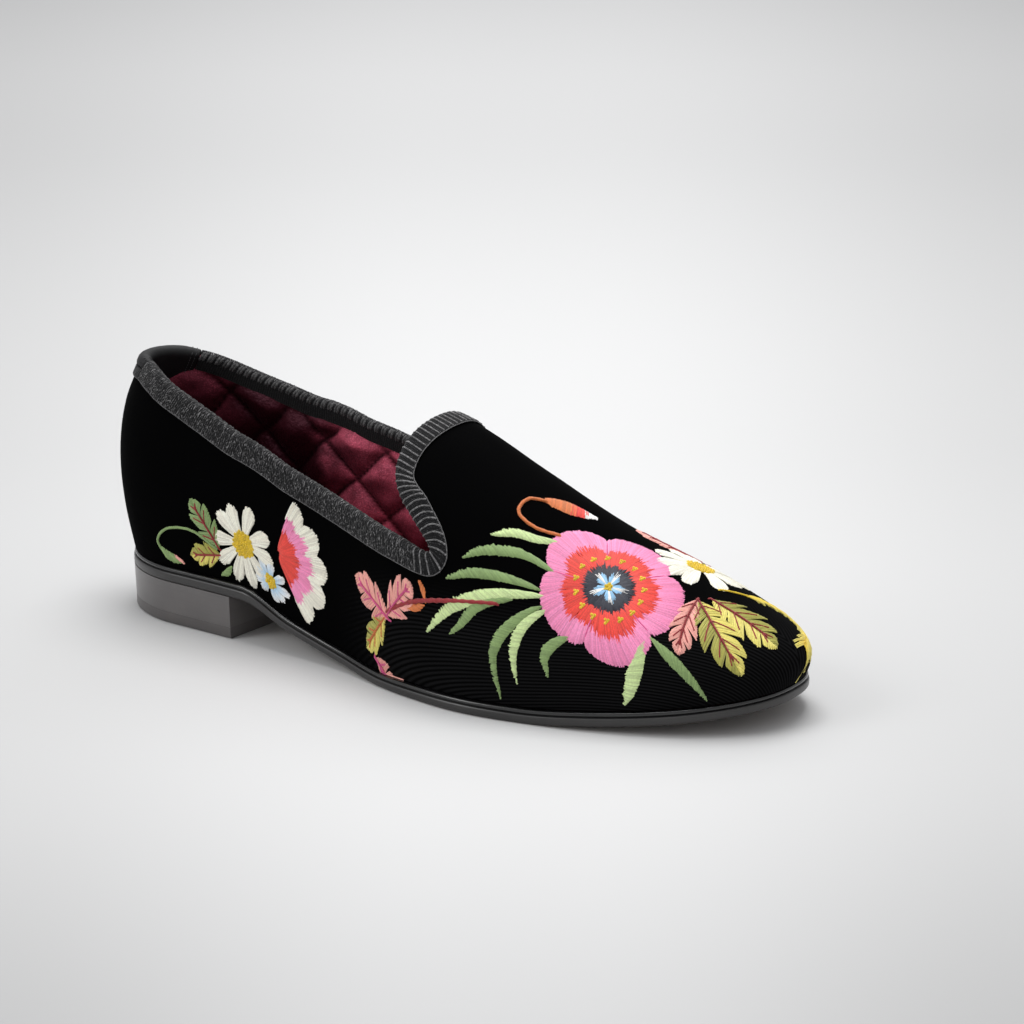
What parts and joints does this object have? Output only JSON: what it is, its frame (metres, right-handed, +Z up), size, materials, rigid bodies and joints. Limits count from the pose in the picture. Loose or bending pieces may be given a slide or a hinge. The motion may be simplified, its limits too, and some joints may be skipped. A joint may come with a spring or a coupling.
{
  "type": "velvet slipper loafer",
  "caption": "Low slip-on dress loafer: hollow velvet upper with a raised tongue, ribbon-bound top edge, leather heel tab, thin welted sole and low block heel.",
  "frame": {"origin": "centre of the heel's bottom face, on the floor", "axes": "+X from the heel to the toe, +Y to the inner side of the foot, +Z up"},
  "size_m": [0.2831, 0.0979, 0.0958],
  "materials": {
    "velvet": "near-black cotton velvet with a short pile and a soft sheen at the edges",
    "grosgrain": "matt charcoal knitted ribbon with light grey cross ribs",
    "tab_leather": "smooth black kid leather, soft gloss",
    "welt_leather": "glossy black rounded welt",
    "sole_leather": "black burnished edge, brown leather tread",
    "heel_leather": "satin black stacked leather",
    "lining": "burgundy quilted satin",
    "embroidery": "satin-stitch floral embroidery in cotton thread of many colours"
  },
  "bodies": {
    "root": {"upper": "velvet", "topline_binding": "grosgrain", "back_binding": "grosgrain", "heel_tab": "tab_leather", "welt": "welt_leather", "outsole": "sole_leather", "insole": "lining", "heel": "heel_leather"}
  },
  "joints": []
}
